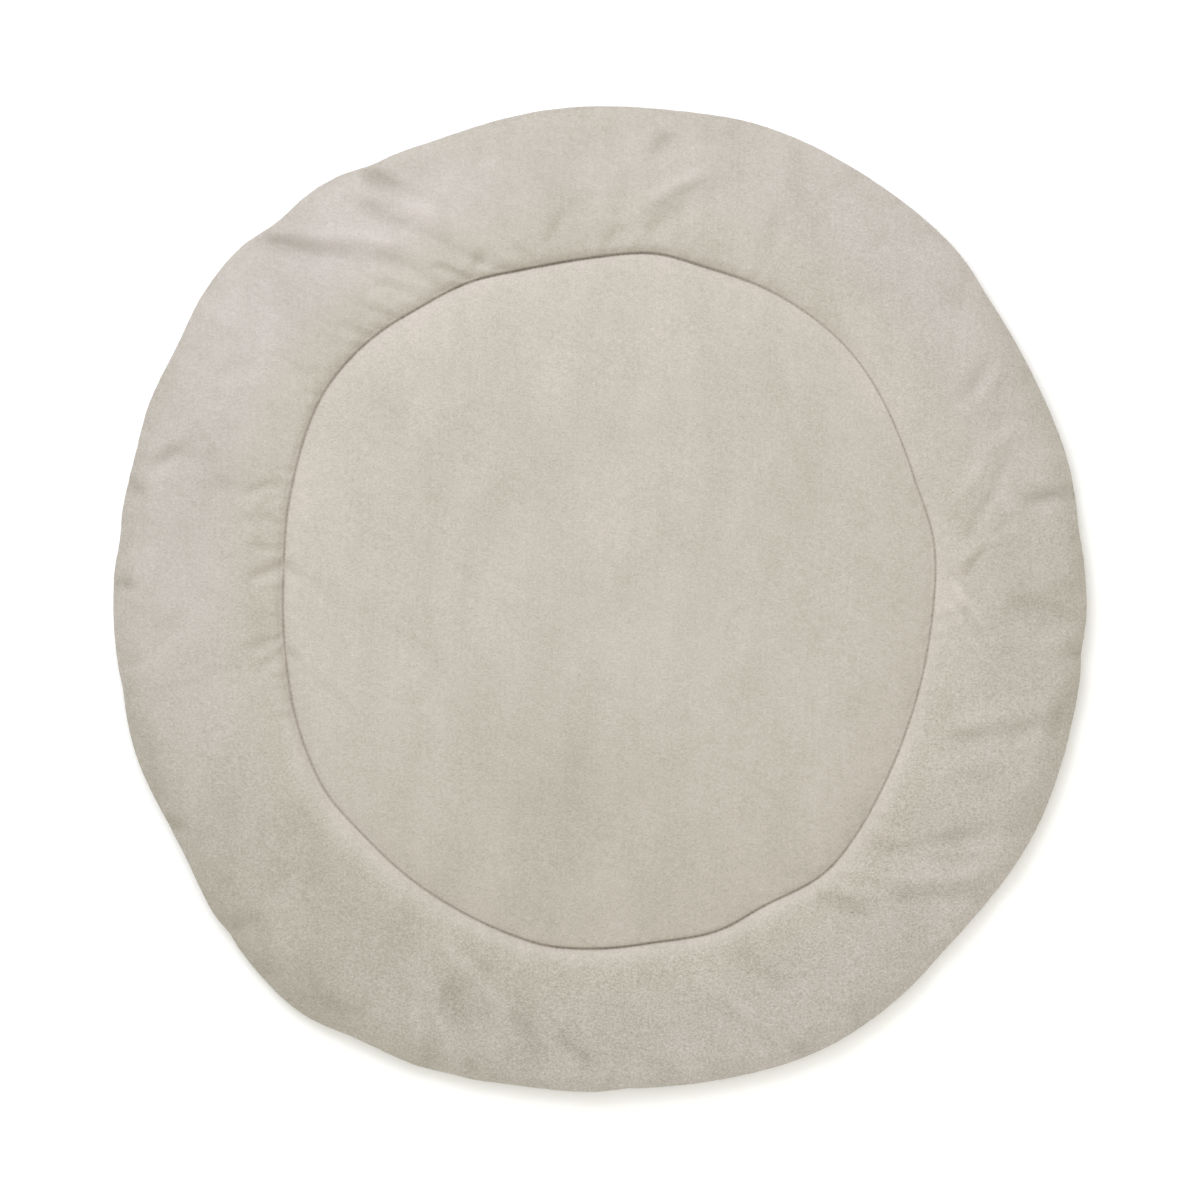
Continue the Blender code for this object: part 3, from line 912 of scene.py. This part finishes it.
class PLAYMAT_OT_cloth(bpy.types.Operator):
    """Lays, fills and quilts the plush of the mat"""

    bl_idname = "playmat.cloth"
    bl_label = "Padded cloth"

    def execute(self, context):
        sizes = context.scene.play_mat_sizes
        net = ClothNet(sizes)
        net.build()
        mesh = bpy.data.meshes.new("padded_mat")
        mesh.from_pydata(net.points, [], net.faces)
        write_value(mesh, FROM_SEAM, net.from_seam)
        write_value(mesh, SIDE, net.sides)
        piece = bpy.data.objects.new("padded_mat", mesh)
        context.scene.collection.objects.link(piece)
        weigh(piece, "loose", [not pin for pin in net.pins])
        apply_modifier(
            piece, "even", "SMOOTH", iterations=3, use_x=False, use_y=False, vertex_group="loose"
        )
        fill_with_wadding(piece, net, sizes)
        apply_modifier(piece, "finer", "SUBSURF", levels=1, render_levels=1)
        places = Places(mesh, net)
        points = places.points + raise_clumps(mesh, places, sizes)
        crease_rises, crease_painted_light = lay_creases(places, sizes)
        points[:, 2] += crease_rises + lay_puckers(places, sizes)
        points[:, 2] += raise_shoulder(places, sizes) - sink_slot(places, sizes)
        points[:, 2] = np.maximum(points[:, 2], 0)
        write_points(mesh, points)
        # Painted shade among the tufts, the tone with its painted light and shade, and the painted
        # cool sheen
        on_border = smooth_step(places.from_seam / TONE_EDGE)
        write_value(mesh, PAINTED_GRAIN_SHADE, share_round(PAINTED_GRAIN_SHADES, places.angle) * on_border)
        write_value(mesh, TONE_AND_PAINTED_LIGHT, paint_tone_and_light(places) + crease_painted_light)
        further_out = smooth_step((places.from_seam - TONE_EDGE) / PAINTED_SHEEN_FADE)
        write_value(mesh, PAINTED_SHEEN_SHARE, share_round(PAINTED_TONES, places.angle, "cool") * further_out)
        mesh.shade_smooth()
        mesh.materials.append(plush_material(sizes, context.scene.play_mat_colours))
        piece.vertex_groups.clear()
        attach(piece, "root")
        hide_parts(SOLID)
        return {"FINISHED"}


def one_stitch(sizes):
    """Models one stitch of thread along X: a slim bead whose ends dip into the holes."""
    bpy.ops.object.select_all(action="DESELECT")
    radius = sizes.thread_width / 2
    bpy.ops.mesh.primitive_uv_sphere_add(
        segments=6, ring_count=6, radius=radius, rotation=(0, math.pi / 2, 0)
    )
    stitch = bpy.context.active_object
    bpy.ops.object.transform_apply(location=False, rotation=True, scale=False)
    bpy.ops.object.mode_set(mode="EDIT")
    bpy.ops.mesh.select_all(action="SELECT")
    bpy.ops.transform.resize(value=(sizes.stitch_length / sizes.thread_width, 1, 1))
    bpy.ops.object.mode_set(mode="OBJECT")
    for vertex in stitch.data.vertices:
        vertex.co.z -= sizes.thread_width * (2 * vertex.co.x / sizes.stitch_length) ** 2
    return stitch


class PLAYMAT_OT_stitching(bpy.types.Operator):
    """Sews the ring of thread on the top and on the underside"""

    bl_idname = "playmat.stitching"
    bl_label = "Stitching"

    def execute(self, context):
        sizes = context.scene.play_mat_sizes
        cloth = bpy.data.objects["padded_mat"].data
        points, sides = read_points(cloth), read_value(cloth, SIDE)
        on_seam = np.abs(read_value(cloth, FROM_SEAM)) < 0.02 * MM
        material = thread_material(sizes, context.scene.play_mat_colours)
        stitch = one_stitch(sizes)
        for name, side in (("top_stitching", 1), ("underside_stitching", -1)):
            ring = points[on_seam & (sides * side > 0.5)]
            ring = ring[np.argsort(np.arctan2(ring[:, 1], ring[:, 0]))]
            piece = self.sew(name, stitch, ring, side)
            piece.data.materials.append(material)
            piece.data.shade_smooth()
            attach(piece, "root")
        bpy.data.objects.remove(stitch, do_unlink=True)
        return {"FINISHED"}

    def sew(self, name, stitch, ring, side):
        """Copies the stitch to each place of the ring between two needle holes."""
        bm = bmesh.new()
        count = len(ring)
        holes = int(np.argmin(ring[:2, 2] * side))
        for middle in range(1 - holes, count, 2):
            start, end = Vector(ring[middle - 1]), Vector(ring[(middle + 1) % count])
            along = (end - start).normalized()
            up = (Vector((0, 0, side)) - along * along.z * side).normalized()
            turn = Matrix((along, up.cross(along), up)).transposed().to_4x4()
            begin = len(bm.verts)
            bm.from_mesh(stitch.data)
            bm.verts.ensure_lookup_table()
            place = Matrix.Translation(Vector(ring[middle])) @ turn
            bmesh.ops.transform(bm, matrix=place, verts=bm.verts[begin:])
        mesh = bpy.data.meshes.new(name)
        bm.to_mesh(mesh)
        bm.free()
        piece = bpy.data.objects.new(name, mesh)
        bpy.context.scene.collection.objects.link(piece)
        return piece


def plush_material(sizes, colours):
    """Brushed polyester plush: matt, with a soft sheen and faint lines along the knit. Its colour
    carries painted light and shade, and a painted cool sheen.
    """
    material = bpy.data.materials.new("brushed_plush")
    material.use_nodes = True
    tree = material.node_tree
    shader = tree.nodes["Principled BSDF"]
    place = add_node(tree, "TexCoord").outputs["Object"]

    # Tips of the pile, drawn as clumps twice as coarse as the real ones so that they show.
    # They are a little longer along X, across the knit lines.
    fine = 1 / sizes.pile_pitch
    napped = add_node(tree, "Mapping", {"Vector": place, "Scale": (fine * 0.75, fine, fine)})
    grain = add_node(
        tree, "TexNoise", {"Vector": napped.outputs[0], "Scale": 1, "Detail": 4, "Roughness": 0.7}
    ).outputs["Fac"]
    tufts = add_node(
        tree, "TexNoise", {"Vector": napped.outputs[0], "Scale": 0.45, "Detail": 1}
    ).outputs["Fac"]

    # Knit lines run up the cloth, and break every few centimetres
    across, up = 1 / sizes.wale_pitch, 1 / (14 * sizes.wale_pitch)
    drawn = add_node(tree, "Mapping", {"Vector": place, "Scale": (across, up, up)})
    wales = add_node(
        tree, "TexNoise", {"Vector": drawn.outputs[0], "Scale": 1, "Detail": 1}
    ).outputs["Fac"]

    # Patches where the nap was stroked another way: broad ones and hand-sized ones
    broad = add_node(
        tree, "TexNoise", {"Vector": place, "Scale": BROAD_PATCHES, "Detail": 2}
    ).outputs["Fac"]
    patched = add_node(tree, "Mapping", {"Vector": place, "Scale": HAND_PATCHES})
    hand = add_node(
        tree, "TexNoise", {"Vector": patched.outputs[0], "Scale": 1, "Detail": 3}
    ).outputs["Fac"]

    # Painted light and shade of fine wrinkles that run slantwise over the cloth
    slanted = add_node(
        tree,
        "Mapping",
        {"Vector": place, "Rotation": (0, 0, WRINKLE_SLANT), "Scale": WRINKLE_SIZE},
        vector_type="TEXTURE",
    )
    wrinkle_shade = add_node(
        tree, "TexNoise", {"Vector": slanted.outputs[0], "Scale": 1, "Detail": 2}
    ).outputs["Fac"]

    # Each pattern swings about its middle, so that its weight changes only its contrast
    # Shade among the tufts is painted as a stronger grain
    painted_grain_shade = add_node(tree, "Attribute", attribute_name=PAINTED_GRAIN_SHADE).outputs["Fac"]
    grain_weight = add_node(
        tree, "Math", {0: painted_grain_shade, 1: GRAIN_SHADE_WEIGHT, 2: GRAIN_WEIGHT}, operation="MULTIPLY_ADD"
    ).outputs[0]
    # Tone of the top, with the light and shade painted beside the stitching, by the rim and on the
    # creases
    nap = add_node(tree, "Attribute", attribute_name=TONE_AND_PAINTED_LIGHT).outputs["Fac"]
    tone = add_node(tree, "Math", {0: nap, 1: 0.5}, operation="ADD").outputs[0]
    for pattern, weight in (
        (grain, grain_weight),
        (tufts, 0.3),
        (wales, 0.18),
        (broad, 0.2),
        (hand, 0.55),
        (wrinkle_shade, 0.22),
    ):
        swing = add_node(tree, "Math", {0: pattern, 1: 0.5}, operation="SUBTRACT").outputs[0]
        tone = add_node(
            tree, "Math", {0: swing, 1: weight, 2: tone}, operation="MULTIPLY_ADD"
        ).outputs[0]
    tone_and_painted_light_colour = add_node(
        tree,
        "Mix",
        {0: tone, 6: (*colours.plush_dark, 1), 7: (*colours.plush_light, 1)},
        data_type="RGBA",
        clamp_factor=False,
    ).outputs[2]
    # Painted cool sheen on the outer border
    cool = add_node(tree, "Attribute", attribute_name=PAINTED_SHEEN_SHARE).outputs["Fac"]
    painted_sheen_colour = add_node(
        tree,
        "Mix",
        {0: cool, 6: tone_and_painted_light_colour, 7: PAINTED_COOL_SHEEN},
        data_type="RGBA",
        blend_type="MULTIPLY",
    ).outputs[2]

    # Painted shade in the slot: within 2 mm of the stitching the colour turns towards a darker
    # taupe
    from_seam = add_node(tree, "Attribute", attribute_name=FROM_SEAM).outputs["Fac"]
    apart = add_node(tree, "Math", {0: from_seam}, operation="ABSOLUTE").outputs[0]
    slot_shade = add_node(
        tree,
        "MapRange",
        {"Value": apart, "From Min": 0.3 * MM, "From Max": 2 * MM, "To Min": 0.25, "To Max": 0},
        interpolation_type="SMOOTHSTEP",
    ).outputs[0]
    cloth_colour = add_node(
        tree,
        "Mix",
        {0: slot_shade, 6: painted_sheen_colour, 7: (*colours.slot_painted_shade, 1)},
        data_type="RGBA",
    ).outputs[2]
    tree.links.new(cloth_colour, shader.inputs["Base Color"])
    shader.inputs["Roughness"].default_value = 0.9
    shader.inputs["Diffuse Roughness"].default_value = 0.1
    shader.inputs["Specular IOR Level"].default_value = 0.2
    shader.inputs["Sheen Weight"].default_value = 0.1
    shader.inputs["Sheen Roughness"].default_value = 0.5

    relief = add_node(tree, "Math", {0: wales, 1: 0.4, 2: grain}, operation="MULTIPLY_ADD")
    bump = add_node(
        tree, "Bump", {"Height": relief.outputs[0], "Strength": 0.7, "Distance": 1.0 * MM}
    )
    tree.links.new(bump.outputs[0], shader.inputs["Normal"])
    return material


def thread_material(sizes, colours):
    """Spun polyester thread: dull, with a fine noise in colour and bump for its twist."""
    material = bpy.data.materials.new("spun_thread")
    material.use_nodes = True
    tree = material.node_tree
    shader = tree.nodes["Principled BSDF"]
    place = add_node(tree, "TexCoord").outputs["Object"]
    scale = 1 / sizes.thread_width
    twist = add_node(tree, "TexNoise", {"Vector": place, "Scale": scale, "Detail": 1})
    shade = add_node(
        tree, "MapRange", {"Value": twist.outputs["Fac"], "To Min": 0.75, "To Max": 1.15}
    ).outputs[0]
    tinted = add_node(
        tree,
        "Mix",
        {0: 1.0, 6: (*colours.thread, 1), 7: shade},
        data_type="RGBA",
        blend_type="MULTIPLY",
    )
    tree.links.new(tinted.outputs[2], shader.inputs["Base Color"])
    shader.inputs["Roughness"].default_value = 0.7
    bump = add_node(
        tree, "Bump", {"Height": twist.outputs["Fac"], "Strength": 0.4, "Distance": 0.1 * MM}
    )
    tree.links.new(bump.outputs[0], shader.inputs["Normal"])
    return material


class PLAYMAT_OT_stage(bpy.types.Operator):
    """Sets the pale floor, the soft light and the camera straight above"""

    bl_idname = "playmat.stage"
    bl_label = "Stage"

    def execute(self, context):
        scene = context.scene
        stage = scene.play_mat_stage
        bpy.ops.object.select_all(action="DESELECT")
        bpy.ops.mesh.primitive_circle_add(vertices=96, radius=FLOOR_RADIUS, fill_type="NGON")
        floor = context.active_object
        floor.name = "floor"
        material = bpy.data.materials.new("painted_floor")
        material.use_nodes = True
        shader = material.node_tree.nodes["Principled BSDF"]
        shader.inputs["Base Color"].default_value = (*scene.play_mat_colours.floor, 1)
        shader.inputs["Roughness"].default_value = 0.9
        floor.data.materials.append(material)

        low, high = cad_box
        metres_per_pixel = (high.y - low.y) / PHOTO_MAT_PIXELS
        camera = bpy.data.objects.new("camera", bpy.data.cameras.new("camera"))
        scene.collection.objects.link(camera)
        middle = PHOTO_PIXELS / 2
        camera.location = (
            (middle - PHOTO_MAT_CENTRE[0]) * metres_per_pixel,
            (PHOTO_MAT_CENTRE[1] - middle) * metres_per_pixel,
            stage.camera_height,
        )
        width = PHOTO_PIXELS * metres_per_pixel
        above_rim = stage.camera_height - (low.z + high.z) / 3
        camera.data.lens = camera.data.sensor_width * above_rim / width
        scene.camera = camera

        key = bpy.data.objects.new("key_light", bpy.data.lights.new("key_light", "AREA"))
        key.data.energy = stage.key_power
        key.data.color = stage.key_colour
        key.data.shape = "DISK"
        key.data.size = stage.key_size
        level = stage.key_distance * math.cos(stage.key_elevation)
        key.location = (
            level * math.cos(stage.key_bearing),
            level * math.sin(stage.key_bearing),
            stage.key_distance * math.sin(stage.key_elevation),
        )
        key.rotation_euler = key.location.to_track_quat("Z", "Y").to_euler()
        key.visible_camera = False
        scene.collection.objects.link(key)

        world = bpy.data.worlds.new("studio")
        world.use_nodes = True
        background = world.node_tree.nodes["Background"]
        background.inputs["Color"].default_value = (*stage.sky_colour, 1)
        background.inputs["Strength"].default_value = stage.sky_strength
        scene.world = world
        scene.view_settings.view_transform = "Standard"
        return {"FINISHED"}


class PLAYMAT_PT_panel(bpy.types.Panel):
    """Sizes, colours and building steps of the play mat"""

    bl_idname = "PLAYMAT_PT_panel"
    bl_label = "Play Mat"
    bl_space_type = "VIEW_3D"
    bl_region_type = "UI"
    bl_category = "Play Mat"

    def draw(self, context):
        scene = context.scene
        for group in (scene.play_mat_sizes, scene.play_mat_colours, scene.play_mat_stage):
            box = self.layout.box()
            for name in group.__annotations__:
                box.prop(group, name)
        for operator in OPERATORS:
            self.layout.operator(operator.bl_idname)


GROUPS = {
    "play_mat_sizes": PlayMatSizes,
    "play_mat_colours": PlayMatColours,
    "play_mat_stage": PlayMatStage,
}
OPERATORS = (PLAYMAT_OT_stage, PLAYMAT_OT_cloth, PLAYMAT_OT_stitching)


def register():
    for name, group in GROUPS.items():
        bpy.utils.register_class(group)
        setattr(bpy.types.Scene, name, bpy.props.PointerProperty(type=group))
    for kind in (*OPERATORS, PLAYMAT_PT_panel):
        bpy.utils.register_class(kind)


def unregister():
    for kind in (PLAYMAT_PT_panel, *reversed(OPERATORS)):
        bpy.utils.unregister_class(kind)
    for name, group in reversed(GROUPS.items()):
        delattr(bpy.types.Scene, name)
        bpy.utils.unregister_class(group)


def main():
    register()
    bpy.ops.playmat.stage()
    bpy.ops.playmat.cloth()
    bpy.ops.playmat.stitching()


if __name__ == "__main__":
    main()
